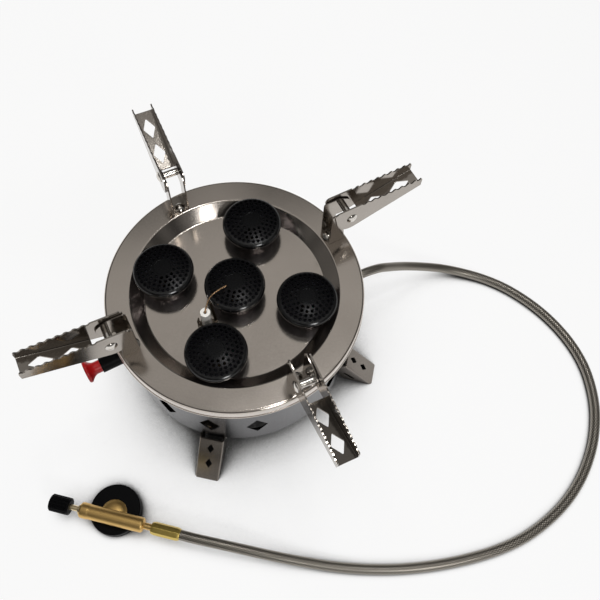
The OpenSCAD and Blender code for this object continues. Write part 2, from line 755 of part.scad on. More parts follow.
// Folding leg: a sloping face with a triangular cheek on each side
module leg(k) {
    eye_r = 4;
    slope = atan2(leg_top.y - leg_toe.y, leg_toe.x - leg_top.x);
    face = unit(leg_toe - leg_top);
    inward = [-face.y, face.x] * -leg_sheet;
    outline = concat(
        [leg_top, leg_toe, leg_heel],
        arc_pts(leg_pivot, eye_r, touch_a(leg_pivot, leg_heel, eye_r, -1) + 360,
            touch_a(leg_pivot, leg_top, eye_r, 1), 10)
    );
    slot_a = [leg_heel.x + 0.3, leg_pivot.y - 9.6];
    slot_b = [leg_heel.x + 7.2, leg_pivot.y - 16.1];
    color("#958e85") rotate([0, 0, 90 * k]) difference() {
        cross_plate(outline, leg_w);
        cross_plate([
            leg_top + inward - 9 * face, leg_toe + inward + 9 * face,
            leg_toe + [-60, -30], leg_pivot + [-30, -10], leg_pivot + [-30, 30], leg_top + [-8, 30],
        ], leg_w - 2 * leg_sheet);
        for (s = [7.5, 21]) translate([leg_top.x + face.x * s, 0, leg_top.y + face.y * s])
            rotate([0, slope, 0]) diamond(8.6, 5.2, 6);
        for (p = [slot_a, slot_b]) translate([p.x, 0, p.y]) cross_rod(1.25, 40);
        cross_plate([
            slot_a + 1.25 * unit([slot_a.y - slot_b.y, slot_b.x - slot_a.x]),
            slot_b + 1.25 * unit([slot_a.y - slot_b.y, slot_b.x - slot_a.x]),
            slot_b - 1.25 * unit([slot_a.y - slot_b.y, slot_b.x - slot_a.x]),
            slot_a - 1.25 * unit([slot_a.y - slot_b.y, slot_b.x - slot_a.x]),
        ], 40);
        translate([leg_pivot.x, 0, leg_pivot.y]) cross_rod(leg_pin_r + run_gap, 40);
    }
}

module leg_pins() {
    half = leg_w / 2 + 0.12;
    color("#b5afa6") for (az = [0:90:270]) rotate([0, 0, az])
        translate([leg_pivot.x, 0, leg_pivot.y]) {
            cross_rod(leg_pin_r, 2 * half);
            for (side = [-1, 1]) translate([0, side * half, 0]) rotate([-90 * side, 0, 0])
                dome(3.2, 1.2);
        }
}

// Point on the valve's axis, named by its distance along it
function valve_point(x) = [
    collar_xy.x + (x - collar_xy.x) * cos(valve_az),
    valve_y + (x - collar_xy.x) * sin(valve_az), valve_z];

module gas_hose() {
    start = turned([inlet_reach, 0, pipe_z], inlet_az);
    straight = turned([inlet_reach + hose_d, 0, pipe_z], inlet_az);
    points = concat([start, straight], hose_way,
        [valve_point(valve_start + hose_d + 4), valve_point(valve_start)]);
    color("#6f6a60") cord(points, hose_d / 2, 12);
}

// Places its children on the valve's axis, with X from the knob to the hose
module on_valve(x) {
    translate(valve_point(x)) rotate([0, 0, valve_az]) children();
}

module valve_ferrule() {
    long = valve_start - ferrule_end;
    color("#a8983a") on_valve(ferrule_end) difference() {
        ferrule(long);
        translate([-1, 0, 0]) rod(1.5, long - 3);
        translate([-1, 0, 0]) rod(valve_neck_r + 0.02, 5);
    }
}

// Barrel of the valve, with a domed saddle on its side and the canister boss underneath
module valve_body() {
    seat = -72;
    band_r = valve_r + 0.3;
    saddle_top = collar_h + saddle_h;
    passage_a = atan2(collar_xy.y - valve_y, valve_z - socket_top - seal_groove);
    color("#a8863f") difference() {
        union() {
            on_valve(body_end) rotate([0, 90, 0]) rotate_extrude() polygon([
                [0, 0], [valve_r - 0.8, 0], [band_r, 1], [band_r, 6.5], [valve_r, 7],
                [valve_r, body_start - body_end - 1.2], [valve_r - 1, body_start - body_end],
                [valve_neck_r, body_start - body_end],
                [valve_neck_r, ferrule_end - body_end + 4], [0, ferrule_end - body_end + 4],
            ]);
            translate([collar_xy.x, collar_xy.y, socket_z])
                cylinder(r = boss_r, h = saddle_top - socket_z);
            translate([saddle_xy.x, saddle_xy.y, collar_h]) cylinder(r = saddle_r, h = saddle_h);
            translate([saddle_xy.x, saddle_xy.y, saddle_top]) dome(saddle_r - 0.4, 3.4);
        }
        translate([collar_xy.x, collar_xy.y, socket_z - 1]) cylinder(r = socket_r, h = socket_len + 1);
        translate([collar_xy.x, collar_xy.y, socket_top])
            cylinder(r = socket_r + 0.5, h = seal_groove);
        translate([collar_xy.x, collar_xy.y, socket_top + seal_groove])
            rotate([passage_a, 0, 0]) cylinder(r = 1, h = 8.5);
        translate([collar_xy.x, collar_xy.y, socket_top]) cylinder(r = 1, h = seal_groove + 1);
        on_valve(seat) rod(1.5, 60);
        on_valve(body_end - 1) rod(spindle_r + run_gap, seat - body_end + 1);
        on_valve(body_end - 1) rod(gland_r + 0.02, 5);
    }
}

module gland_nut() {
    color("#b8983f") on_valve(gland_end) difference() {
        rotate([0, 90, 0]) rotate_extrude() polygon([
            [0, 0], [gland_r - 0.5, 0], [gland_r, 0.5],
            [gland_r, body_end - gland_end + 3.5], [0, body_end - gland_end + 3.5],
        ]);
        translate([-1, 0, 0]) rod(spindle_r + run_gap, 12);
    }
}

module valve_spindle() {
    tip = -73;
    color("#bcae7c") on_valve(knob_start - 12) rod(spindle_r, tip - knob_start + 12);
}

module valve_knob() {
    r = knob_d / 2;
    ribs = 18;
    color("#141416") on_valve(knob_start - knob_len) difference() {
        rotate([0, 90, 0]) rotate_extrude() polygon([
            [0, 0], [r - 0.8, 0], [r, 0.8], [r, knob_len - 0.6], [r - 0.6, knob_len], [0, knob_len],
        ]);
        for (i = [0:ribs - 1]) rotate([360 * i / ribs, 0, 0]) translate([-1, 0, r + 0.15])
            rotate([0, 90, 0]) cylinder(r = 0.65, h = knob_len - 0.5, $fn = 24);
        translate([knob_len - 12, 0, 0]) rod(spindle_r + 0.02, 20);
    }
}

// Hand collar that rests on the canister's shoulder, hollow underneath
module canister_collar() {
    r = collar_d / 2;
    color("#1a1a1c") translate([collar_xy.x, collar_xy.y, 0]) rotate_extrude($fn = 96)
        polygon(concat(
            [[boss_r + 0.05, collar_h], [boss_r + 0.05, collar_h - 3.5]],
            [[r - 2.5, collar_h - 2.5], [r - 2.5, 0], [r, 0]],
            arc_pts([r - 1.5, collar_h - 1.5], 1.5, 0, 90, 6)
        ));
}

// Rubber seal held in the groove at the top of the socket
module socket_seal() {
    color("#101010") translate([collar_xy.x, collar_xy.y, socket_top + 0.1]) difference() {
        cylinder(r = socket_r + 0.45, h = seal_groove - 0.1);
        translate([0, 0, -1]) cylinder(r = 3, h = 4);
    }
}

rim_tray();
wind_shield();
base_plate();
leg_lugs();
lug_rivets();
burner_cup(0);  // burner_cup_1
burner_cup(1);  // burner_cup_2
burner_cup(2);  // burner_cup_3
burner_cup(3);  // burner_cup_4
burner_cup(4);  // burner_cup_5
burner_cap(0);  // burner_cap_1
burner_cap(1);  // burner_cap_2
burner_cap(2);  // burner_cap_3
burner_cap(3);  // burner_cap_4
burner_cap(4);  // burner_cap_5
cup_nuts();
gas_manifold();
gas_jets();
manifold_post();
inlet_union();
inlet_nut();
stove_ferrule();
electrode_clip();
electrode_ceramic();
electrode_wire();
ignition_lead();
igniter_body();
igniter_nut();
igniter_button();
arm_bracket(0);  // arm_bracket_1
arm_bracket(1);  // arm_bracket_2
arm_bracket(2);  // arm_bracket_3
arm_bracket(3);  // arm_bracket_4
bracket_rivets();
arm(0);  // arm_1
arm(1);  // arm_2
arm(2);  // arm_3
arm(3);  // arm_4
arm_pin(0);  // arm_pin_1
arm_pin(1);  // arm_pin_2
arm_pin(2);  // arm_pin_3
arm_pin(3);  // arm_pin_4
leg(0);  // leg_1
leg(1);  // leg_2
leg(2);  // leg_3
leg(3);  // leg_4
leg_pins();
gas_hose();
valve_ferrule();
valve_body();
gland_nut();
valve_spindle();
valve_knob();
canister_collar();
socket_seal();
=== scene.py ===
# %% [markdown]
# # A five-burner camping stove
# This lesson dresses a finished engineering model in Blender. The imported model
# gives every piece its place and size, so nothing here is fitted by eye: each
# new piece is built where its plain stand-in already is, and takes its place.

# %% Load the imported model
import json
import math

import bmesh
import bpy
from mathutils import Matrix, Quaternion, Vector


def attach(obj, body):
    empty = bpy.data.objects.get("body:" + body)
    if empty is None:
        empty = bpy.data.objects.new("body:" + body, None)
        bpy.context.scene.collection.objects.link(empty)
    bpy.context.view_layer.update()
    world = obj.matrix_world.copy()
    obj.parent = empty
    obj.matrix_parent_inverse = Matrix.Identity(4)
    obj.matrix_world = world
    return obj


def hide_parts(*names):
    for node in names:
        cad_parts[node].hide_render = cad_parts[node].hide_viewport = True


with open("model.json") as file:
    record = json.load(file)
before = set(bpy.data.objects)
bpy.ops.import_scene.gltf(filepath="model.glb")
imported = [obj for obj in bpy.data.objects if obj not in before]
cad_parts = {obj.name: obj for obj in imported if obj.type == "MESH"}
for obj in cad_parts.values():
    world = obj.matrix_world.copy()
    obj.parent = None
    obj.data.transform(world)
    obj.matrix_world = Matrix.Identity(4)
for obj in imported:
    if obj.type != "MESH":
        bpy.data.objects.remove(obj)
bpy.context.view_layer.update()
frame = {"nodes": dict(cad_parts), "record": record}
nodes = frame["nodes"]
MM = 0.001

# %% [markdown]
# ## The camera
# A product picture is easiest to compose when the camera comes first. It looks
# down steeply, with a little roll, as someone standing at a table would.
# The shift moves the picture's centre by a few pixels, without turning anything.

# %% Camera
EYE = Vector((72.6, -208.6, 538.6)) * MM
AIM = Vector((34.8, 46.2, 0.0)) * MM
ROLL = math.radians(3.8)
FOCAL_MM, SENSOR_MM = 41.75, 36.0
SHIFT = (0.0108, 0.0105)
NEAREST = 0.01


def make_camera():
    data = bpy.data.cameras.new("camera")
    data.sensor_width = SENSOR_MM
    data.lens = FOCAL_MM
    data.shift_x, data.shift_y = SHIFT
    data.clip_start = NEAREST
    camera = bpy.data.objects.new("camera", data)
    turn = (AIM - EYE).to_track_quat("-Z", "Y") @ Quaternion((0, 0, 1), ROLL)
    camera.matrix_world = Matrix.Translation(EYE) @ turn.to_matrix().to_4x4()
    bpy.context.scene.collection.objects.link(camera)
    bpy.context.scene.camera = camera
    return camera


camera = make_camera()
print("camera looks along", tuple(round(x, 3) for x in (AIM - EYE).normalized()))

# %% [markdown]
# ## Colours and shader nodes
# Colours are easiest to choose as sRGB hex codes, but shaders work with linear
# light, so one function turns the first into the second. Another adds a shader
# node together with its settings and its links, which keeps every material short.


# %% Colour and node helpers
def linear(code):
    """Turns a hex colour such as #8d867e into linear red, green, blue and alpha."""
    channels = [int(code[i:i + 2], 16) / 255 for i in (1, 3, 5)]
    return tuple(
        c / 12.92 if c <= 0.04045 else ((c + 0.055) / 1.055) ** 2.4 for c in channels
    ) + (1.0,)


def add(tree, kind, inputs=None, **settings):
    """Adds one shader node; an input is a plain value or another node's output."""
    made = tree.nodes.new("ShaderNode" + kind)
    for name, value in settings.items():
        setattr(made, name, value)
    for name, value in (inputs or {}).items():
        if isinstance(value, bpy.types.NodeSocket):
            tree.links.new(value, made.inputs[name])
        else:
            made.inputs[name].default_value = value
    return made


def blank_material(name):
    """A material with an empty node tree."""
    material = bpy.data.materials.new(name)
    material.use_nodes = True
    material.node_tree.nodes.clear()
    return material, material.node_tree


def close_material(material, tree, shader):
    """Sends a shader to the material's output."""
    add(tree, "OutputMaterial", {"Surface": shader.outputs[0]})
    return material


# %% [markdown]
# ## The gas hose
# A gas hose is a rubber tube in a braided cover, stiff enough to lie in wide
# curves. Its route leaves the inlet level, sinks to the ground, makes one big
# bow and comes back to the valve. The points are listed, about three
# diameters apart, and a spline through them gives the smooth line.

# %% Hose route
HOSE_D = 7.5 * MM
HOSE_PITCH = 0.75 * MM
LIE = 3.85  # height of the hose's middle where it lies on the ground, in mm
HOSE_START = (84.256, 63.491, 46.0)
HOSE_SECOND = (90.246, 68.005, 46.0)
HOSE_WAY = [
    (98.7, 74.4, 43.5), (107.3, 81.2, 37), (120, 90.5, 27), (136, 99, 17.5),
    (153, 105.4, 10), (171, 108.1, 5.5), (190, 107.3, LIE), (208.7, 103, LIE),
    (226.4, 95.7, LIE), (243.5, 85.7, LIE), (258.8, 73.3, LIE), (271.6, 59.1, LIE),
    (281.6, 42.9, LIE), (288, 25, LIE), (291.3, 6, LIE), (291, -14, LIE),
    (287.6, -33, LIE), (281.1, -52.3, LIE), (271.1, -71.1, LIE), (257.6, -88.5, LIE),
    (241.3, -104.2, LIE), (222, -117.4, LIE), (200.5, -128.4, LIE),
    (178.2, -137.5, LIE), (155.1, -144.8, LIE), (132, -150, LIE), (109, -153.4, 4.6),
    (87, -155.1, 6.6), (65, -156.2, 9.6), (43, -156.6, 12.3), (22, -156.8, 14),
]
HOSE_END = [(5.278, -156.875, 14.4), (-6.218, -156.574, 14.4)]
FINE_STEPS = 24


def spline(points, pitch):
    """Catmull-Rom line through the points, then resampled at an even pitch."""
    ends = [points[0] * 2 - points[1]] + points + [points[-1] * 2 - points[-2]]
    fine = []
    for a, b, c, d in zip(ends, ends[1:], ends[2:], ends[3:]):
        for step in range(FINE_STEPS):
            t = step / FINE_STEPS
            fine.append(0.5 * (
                2 * b + (c - a) * t + (2 * a - 5 * b + 4 * c - d) * t ** 2
                + (3 * b - a - 3 * c + d) * t ** 3))
    fine.append(points[-1])
    total = sum((q - p).length for p, q in zip(fine, fine[1:]))
    count = max(2, round(total / pitch))
    even, walked, i = [], 0.0, 0
    for k in range(count):
        want = total * k / count
        while walked + (fine[i + 1] - fine[i]).length < want:
            walked += (fine[i + 1] - fine[i]).length
            i += 1
        piece = fine[i + 1] - fine[i]
        even.append(fine[i] + piece * ((want - walked) / max(piece.length, 1e-9)))
    even.append(points[-1])
    return even, total


hose_points = [Vector(p) * MM for p in [HOSE_START, HOSE_SECOND] + HOSE_WAY + HOSE_END]
hose_line, hose_length = spline(hose_points, HOSE_PITCH)
print(f"hose: {hose_length:.3f} m in {len(hose_line)} steps")


# %% [markdown]
# A tube can be rolled like a sheet of paper: a flat grid of quads has one edge
# laid along the line and the other bent round it until the two edges meet. The
# grid's own coordinates become the pattern map, so a braid can follow the tube.


# %% Roll a grid into a tube
def sweep(line, sides, radius):
    """Rolls a grid round a line; radius gives the size at (turn, distance)."""
    shape = bmesh.new()
    rows = len(line) - 1
    bmesh.ops.create_grid(shape, x_segments=sides, y_segments=rows, size=1.0)
    frames, across, walked = [], None, 0.0
    for i, point in enumerate(line):
        if i:
            walked += (point - line[i - 1]).length
        ahead = (line[min(i + 1, rows)] - line[max(i - 1, 0)]).normalized()
        if across is None:
            level = ahead.cross(Vector((0, 0, 1)))
            across = level.normalized() if level.length > 0.1 else ahead.orthogonal()
        across = (across - ahead * across.dot(ahead)).normalized()
        frames.append((point, across, ahead.cross(across), walked))
    uv = shape.loops.layers.uv.new("along")
    for face in shape.faces:
        for loop in face.loops:
            flat = loop.vert.co
            row = round((flat.y + 1) / 2 * rows)
            loop[uv].uv = ((flat.x + 1) / 2, frames[row][3])
    for vert in shape.verts:
        point, across, other, walked = frames[round((vert.co.y + 1) / 2 * rows)]
        turn = math.pi * (vert.co.x + 1)
        size = radius(turn, walked)
        vert.co = point + size * (math.cos(turn) * across + math.sin(turn) * other)
    bmesh.ops.remove_doubles(shape, verts=shape.verts, dist=1e-6)
    rims = [e for e in shape.edges if e.is_boundary]
    bmesh.ops.holes_fill(shape, edges=rims, sides=0)
    return shape


# %% [markdown]
# Every new piece goes through one function: it gets smooth shading that stops at
# sharp edges and that large flat faces decide, a finish, and a body to ride on.


# %% Turn a bmesh into a piece of the stove
FACE_WEIGHT = 80


def place(name, shape, material, body, replaces=(), smooth=35, outward=True):
    """Makes an object of the shape, gives it its finish and lets it ride its body."""
    if outward:
        bmesh.ops.recalc_face_normals(shape, faces=shape.faces)
    mesh = bpy.data.meshes.new(name)
    shape.to_mesh(mesh)
    shape.free()
    mesh.shade_smooth()
    mesh.set_sharp_from_angle(angle=math.radians(smooth))
    piece = bpy.data.objects.new(name, mesh)
    bpy.context.scene.collection.objects.link(piece)
    even = piece.modifiers.new("even shading", "WEIGHTED_NORMAL")
    even.keep_sharp, even.weight = True, FACE_WEIGHT
    mesh.materials.append(material)
    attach(piece, body)
    if replaces:
        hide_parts(*replaces)
    return piece


def stand_in(name, shape, node, finish=None, smooth=35, outward=True):
    """Places a shape as the better version of one engineering piece."""
    return place(name, shape, finish or FINISHES[slot_of[node]], body_of[node],
                 replaces=[node], smooth=smooth, outward=outward)


# %% [markdown]
# ## Rounding the engineering pieces
# A pressed or turned part never has a perfectly sharp edge, and it is on the small
# roundings that metal catches the light. The engineering pieces are exact but
# sharp, so each sheet or turned part is copied, its flat faces are joined up
# again, and its edges are bevelled: widely at the bends, finely at the cut edges.


# %% Copy and round an engineering piece
SAME_POINT = 0.002 * MM
SAME_PLANE = math.radians(0.5)


def merged(node):
    """A copy of a piece's triangles, merged, with its flat faces whole again."""
    shape = bmesh.new()
    shape.from_mesh(nodes[node].data)
    bmesh.ops.remove_doubles(shape, verts=shape.verts, dist=SAME_POINT)
    bmesh.ops.dissolve_limit(
        shape, angle_limit=SAME_PLANE, verts=shape.verts, edges=shape.edges)
    return shape


def sharp_edges(shape, angle=35):
    """The edges whose two faces meet at more than an angle."""
    return [e for e in shape.edges
            if e.is_manifold and e.calc_face_angle() > math.radians(angle)]


def round_off(shape, edges, width, segments=2):
    """Bevels edges by a width in millimetres, never past their neighbours."""
    bmesh.ops.bevel(
        shape, geom=edges, offset=width * MM, offset_type="OFFSET", segments=segments,
        profile=0.5, affect="EDGES", clamp_overlap=True, material=-1)


def soften(node, width, segments=2, angle=35, smooth=32, finish=None, shape=None):
    """Rounds all the edges of one engineering piece, and stands in for it."""
    shape = shape or merged(node)
    round_off(shape, sharp_edges(shape, angle), width, segments)
    return stand_in("rounded_" + node, shape, node, finish, smooth, outward=False)


# %% [markdown]
# ## Stainless steel finishes
# Every sheet on the stove is stainless steel. The dish is satin rolled sheet, the
# shield is darker, the small pressings are nearly polished, and the legs are dull
# from bead blasting. Metal has no colour of its own beyond its tint: what gives
# it life is a roughness that varies a little, and fine rolling lines.


# %% Steel
CLOUD_SCALE = 45.0  # soft patches about 22 mm across
RELIEF_MM = 0.05  # height of every bump


def steel(name, tint, rough, spread, line_mm, bump, along=(1, 1, 1)):
    """Rolled steel: tint, roughness and its spread, and the pitch of its lines."""
    material, tree = blank_material(name)
    place_on = add(tree, "TexCoord").outputs["Object"]
    stretched = add(tree, "Mapping", {"Vector": place_on, "Scale": along}).outputs[0]
    cloudy = add(tree, "TexNoise", {
        "Vector": place_on, "Scale": CLOUD_SCALE, "Detail": 3.0})
    lines = add(tree, "TexNoise", {
        "Vector": stretched, "Scale": 1 / (line_mm * MM), "Detail": 2.0})
    # Each noise lies round 0.5, so the two together lie round 1.
    mixed = add(tree, "Math", {0: cloudy.outputs[0], 1: lines.outputs[0]},
                operation="ADD")
    roughness = add(tree, "MapRange", {
        "Value": mixed.outputs[0], "From Min": 0.7, "From Max": 1.3,
        "To Min": rough - spread, "To Max": rough + spread})
    toned = add(tree, "MapRange", {
        "Value": mixed.outputs[0], "From Min": 0.75, "From Max": 1.25})
    colour = add(tree, "Mix", {
        0: toned.outputs[0], 6: linear(tint[0]), 7: linear(tint[1])}, data_type="RGBA")
    relief = add(tree, "Bump", {
        "Height": lines.outputs[0], "Strength": bump, "Distance": RELIEF_MM * MM})
    return close_material(material, tree, add(tree, "BsdfPrincipled", {
        "Base Color": colour.outputs[2], "Metallic": 1.0,
        "Roughness": roughness.outputs[0], "Normal": relief.outputs[0]}))


# Rim tray: satin rolled sheet.
tray_steel = steel(
    "satin stainless steel", ("#cbc2b9", "#d2c9c0"), 0.16, 0.015, 1.2, 0.002)
# Wind shield: dark cold rolled sheet, with its lines running round the drum.
shield_steel = steel(
    "cold rolled stainless steel", ("#444346", "#4b4a4d"), 0.2, 0.03, 1.5, 0.01,
    along=(1, 1, 0.1))
# Arms and brackets: small polished pressings.
pressed_steel = steel(
    "polished stainless steel", ("#a19a92", "#aaa39b"), 0.15, 0.03, 1.0, 0.01)
# Legs: bead blasted, so duller.
leg_steel = steel(
    "bead blasted stainless steel", ("#827b74", "#8d867f"), 0.24, 0.03, 1.0, 0.02)
# Pins and rivets: drawn wire, the brightest of all.
bright_steel = steel(
    "bright steel wire and rivets", ("#d6d1ca", "#dfdad3"), 0.14, 0.03, 1.0, 0.02)
# Electrode clip: strip that the flame has browned.
tinted_steel = steel(
    "heat tinted steel strip", ("#4c443b", "#63594e"), 0.3, 0.04, 1.0, 0.02)

# %% [markdown]
# ## Other finishes
# The burners are blackened: a thin, dry enamel that shows only a soft sheen, and
# is rubbed shinier on the rolled edges. Brass is turned and a little dull. Ceramic
# is glazed, and the plastics are moulded.


# %% Coloured finishes
def coat(name, colours, rough, grain_mm, bump=0.1, metallic=0.0, spread=0.06, **extra):
    """A finish with a fine grain: two near tones, a roughness and a relief."""
    material, tree = blank_material(name)
    place_on = add(tree, "TexCoord").outputs["Object"]
    grain = add(tree, "TexNoise", {
        "Vector": place_on, "Scale": 1 / (grain_mm * MM), "Detail": 4.0})
    colour = add(tree, "Mix", {
        0: grain.outputs[0], 6: linear(colours[0]), 7: linear(colours[1])}, data_type="RGBA")
    roughness = add(tree, "MapRange", {
        "Value": grain.outputs[0], "From Min": 0.3, "From Max": 0.7,
        "To Min": rough - spread, "To Max": rough + spread})
    relief = add(tree, "Bump", {
        "Height": grain.outputs[0], "Strength": bump, "Distance": RELIEF_MM * MM})
    inputs = {"Base Color": colour.outputs[2], "Metallic": metallic,
              "Roughness": roughness.outputs[0], "Normal": relief.outputs[0]}
    inputs.update({key.replace("_", " "): value for key, value in extra.items()})
    return close_material(material, tree, add(tree, "BsdfPrincipled", inputs))


EDGE_FADE = 0.4  # mm above and below the height


def polish_below(material, height, shine, smoother):
    """Makes a finish shinier below a height in millimetres, as on a rubbed edge."""
    tree = material.node_tree
    shader = next(n for n in tree.nodes if n.type == "BSDF_PRINCIPLED")
    place_on = add(tree, "TexCoord").outputs["Object"]
    low = add(tree, "MapRange", {
        "Value": add(tree, "SeparateXYZ", {"Vector": place_on}).outputs["Z"],
        "From Min": (height + EDGE_FADE) * MM, "From Max": (height - EDGE_FADE) * MM})
    level = add(tree, "MapRange", {
        "Value": low.outputs[0], "To Max": shine,
        "To Min": shader.inputs["Specular IOR Level"].default_value})
    rough = add(tree, "Math", {0: low.outputs[0], 1: -smoother,
                               2: shader.inputs["Roughness"].links[0].from_socket},
                operation="MULTIPLY_ADD")
    tree.links.new(level.outputs[0], shader.inputs["Specular IOR Level"])
    tree.links.new(rough.outputs[0], shader.inputs["Roughness"])


# Burner caps: enamel, rubbed on the shoulder.
cap_black = coat(
    "black heat-proof enamel", ("#040405", "#070709"), 0.27, 0.8, 0.02, spread=0.03,
    Specular_IOR_Level=0.16)
polish_below(cap_black, height=115.6, shine=1.0, smoother=0.1)
# Burner cups: blackened castings.
cup_black = coat(
    "blackened cast cup", ("#5c5c62", "#6c6c72"), 0.34, 1.2, 0.05, metallic=0.8)
# Valve, its gland and spindle, and the hose's ferrules: three tones of brass.
brass = coat(
    "turned brass", ("#dcb670", "#e4be7a"), 0.42, 3.0, 0.01, metallic=1.0, spread=0.03)
gland_brass = coat(
    "bright turned brass", ("#ecd6aa", "#f2dfb6"), 0.35, 3.0, 0.01, metallic=1.0,
    spread=0.02)
ferrule_brass = coat(
    "crimped brass", ("#d2b862", "#dac270"), 0.42, 3.0, 0.01, metallic=1.0, spread=0.03)
# Electrode: glazed tube and its wire. Igniter and valve: moulded plastics.
ceramic = coat("glazed alumina ceramic", ("#f1eee8", "#f7f5f0"), 0.3, 3.0, 0.02)
nickel_wire = coat(
    "heat tinted nickel wire", ("#c79d74", "#dbb690"), 0.25, 2.0, 0.02, metallic=1.0)
red_plastic = coat("red moulded plastic", ("#aa0d11", "#b81418"), 0.35, 2.0, 0.03)
black_plastic = coat(
    "black moulded plastic", ("#040405", "#060607"), 0.45, 1.0, 0.05,
    Specular_IOR_Level=0.1)
# Seals, the hose's core and the ignition lead: rubber and silicone.
black_rubber = coat("black hard rubber", ("#131314", "#1d1d1e"), 0.55, 0.8)
lead_red = coat("silicone lead insulation", ("#7c2418", "#8f2f20"), 0.5, 1.0)

FINISHES = {
    "tray_steel": tray_steel, "shield_steel": shield_steel, "pressed_steel": pressed_steel,
    "rivet_steel": bright_steel, "cap_black": cap_black, "cup_black": cup_black,
    "brass": brass, "ferrule_brass": ferrule_brass, "ceramic": ceramic,
    "button_red": red_plastic, "black_plastic": black_plastic, "lead": lead_red,
    "hose": black_rubber, "seal": black_rubber,
}


# %% Give every engineering piece its finish
slot_of = {s["node"]: s["material_slot"] for s in frame["record"]["subparts"]}
body_of = {n: body for body, names in frame["record"]["behaviour"]["bodies"].items()
           for n in names}
for name, piece in nodes.items():
    piece.data.materials.clear()
    piece.data.materials.append(FINISHES[slot_of[name]])
print("finished", len(nodes), "pieces in", len(FINISHES), "slots")


# %% [markdown]
# ## Braided cover
# The cover is woven from fine steel wires in two slanting families that pass over
# and under each other. Twelve bundles each way, each with a 17 mm lay, give the
# small diamond pattern. The relief is real geometry; the shade in the gaps is
# painted shade, a darker steel colour on the same waves.

# %% Braided hose
BUNDLES = 12
LAY = 17.0 * MM
RELIEF = 0.22 * MM
BRAID_SIDES = 48


def braid_radius(turn, walked):
    """Radius of the braid at a turn round the hose and a distance along it."""
    slant = 2 * math.pi * walked / LAY
    left = BUNDLES * turn / 2 + slant * BUNDLES / 4
    right = BUNDLES * turn / 2 - slant * BUNDLES / 4
    over = math.cos(left) * math.cos(right)
    return HOSE_D / 2 - RELIEF + RELIEF * abs(over) ** 0.7


def braid_material():
    """Steel wire with painted shade in the gaps, on the same waves as the relief."""
    material, tree = blank_material("braided stainless wire")
    along = add(tree, "UVMap", uv_map="along").outputs[0]
    split = add(tree, "SeparateXYZ", {"Vector": along})
    turn = add(tree, "Math", {0: split.outputs[0], 1: math.pi * BUNDLES},
               operation="MULTIPLY")
    lay = add(tree, "Math", {0: split.outputs[1], 1: math.pi * BUNDLES / 2 / LAY},
              operation="MULTIPLY")
    waves = []
    for way in ("ADD", "SUBTRACT"):
        side = add(tree, "Math", {0: turn.outputs[0], 1: lay.outputs[0]}, operation=way)
        waves.append(add(tree, "Math", {0: side.outputs[0]}, operation="COSINE"))
    over = add(tree, "Math", {0: waves[0].outputs[0], 1: waves[1].outputs[0]},
               operation="MULTIPLY")
    height = add(tree, "Math", {0: over.outputs[0]}, operation="ABSOLUTE")
    # Painted shade: the gaps between the wires get the darker steel colour.
    colour = add(tree, "Mix", {
        0: height.outputs[0], 6: linear("#5a564f"), 7: linear("#c0b9ae")}, data_type="RGBA")
    return close_material(material, tree, add(tree, "BsdfPrincipled", {
        "Base Color": colour.outputs[2], "Metallic": 0.9, "Roughness": 0.36}))


hose_piece = place(
    "braided_hose", sweep(hose_line, BRAID_SIDES, braid_radius), braid_material(),
    "stove", replaces=["gas_hose"], smooth=60)

# %% [markdown]
# ## Turned shapes
# The tray, the caps and the cups are round pressings and castings. The outlines of
# the tray and the caps are short lists of radius and height, with arcs for the
# bends, and a spin round the upright axis turns an outline into a skin.


# %% Spin an outline
def arc(centre, radius, start, stop, steps=6):
    """Points of an arc, in the same millimetres as the outline."""
    return [(centre[0] + radius * math.cos(math.radians(start + (stop - start) * i / steps)),
             centre[1] + radius * math.sin(math.radians(start + (stop - start) * i / steps)))
            for i in range(steps + 1)]


def lathe(outline, steps=128):
    """Spins a closed outline of (radius, height) round the Z axis."""
    shape = bmesh.new()
    dots = [shape.verts.new((r * MM, 0, z * MM)) for r, z in outline]
    lines = [shape.edges.new(pair) for pair in zip(dots, dots[1:])]
    if outline[0][0] > 0 or outline[-1][0] > 0:
        lines.append(shape.edges.new((dots[-1], dots[0])))
    bmesh.ops.spin(shape, geom=dots + lines, cent=(0, 0, 0), axis=(0, 0, 1),
                   angle=2 * math.pi, steps=steps, use_merge=True, use_duplicate=False)
    bmesh.ops.remove_doubles(shape, verts=shape.verts, dist=0.001 * MM)
    bmesh.ops.recalc_face_normals(shape, faces=shape.faces)
    return shape


def shift(shape, x, y, z=0.0, turn=0.0):
    """Turns a shape about the Z axis and moves it, in millimetres."""
    turned = Matrix.Rotation(math.radians(turn), 3, "Z")
    bmesh.ops.rotate(shape, verts=shape.verts, matrix=turned)
    bmesh.ops.translate(shape, verts=shape.verts, vec=Vector((x, y, z)) * MM)
    return shape


# %% [markdown]
# A Boolean cuts holes through a skin. It works on objects, so the blank and the
# tool become objects for a moment, and the result comes back as a bmesh.


# %% Cut holes
def cut(blank, tool, operation="DIFFERENCE"):
    """Takes the tool's shape out of the blank's, or joins it on with UNION."""
    pair = []
    for name, shape in (("blank", blank), ("tool", tool)):
        mesh = bpy.data.meshes.new(name)
        shape.to_mesh(mesh)
        shape.free()
        pair.append(bpy.data.objects.new(name, mesh))
        bpy.context.scene.collection.objects.link(pair[-1])
    knife = pair[0].modifiers.new("cut", "BOOLEAN")
    knife.object, knife.operation, knife.solver = pair[1], operation, "EXACT"
    result = bmesh.new()
    result.from_object(pair[0], bpy.context.evaluated_depsgraph_get())
    for piece in pair:
        bpy.data.objects.remove(piece)
    return result


# %% [markdown]
# ## Rim tray
# The tray is one deep pressing: a level rim with a lip turned down round it, a
# rolled hem at the lip's edge that stiffens it, and a dish with a sloping wall.
# Its corners are wide bends, where a polished sheet shows its brightest lines.

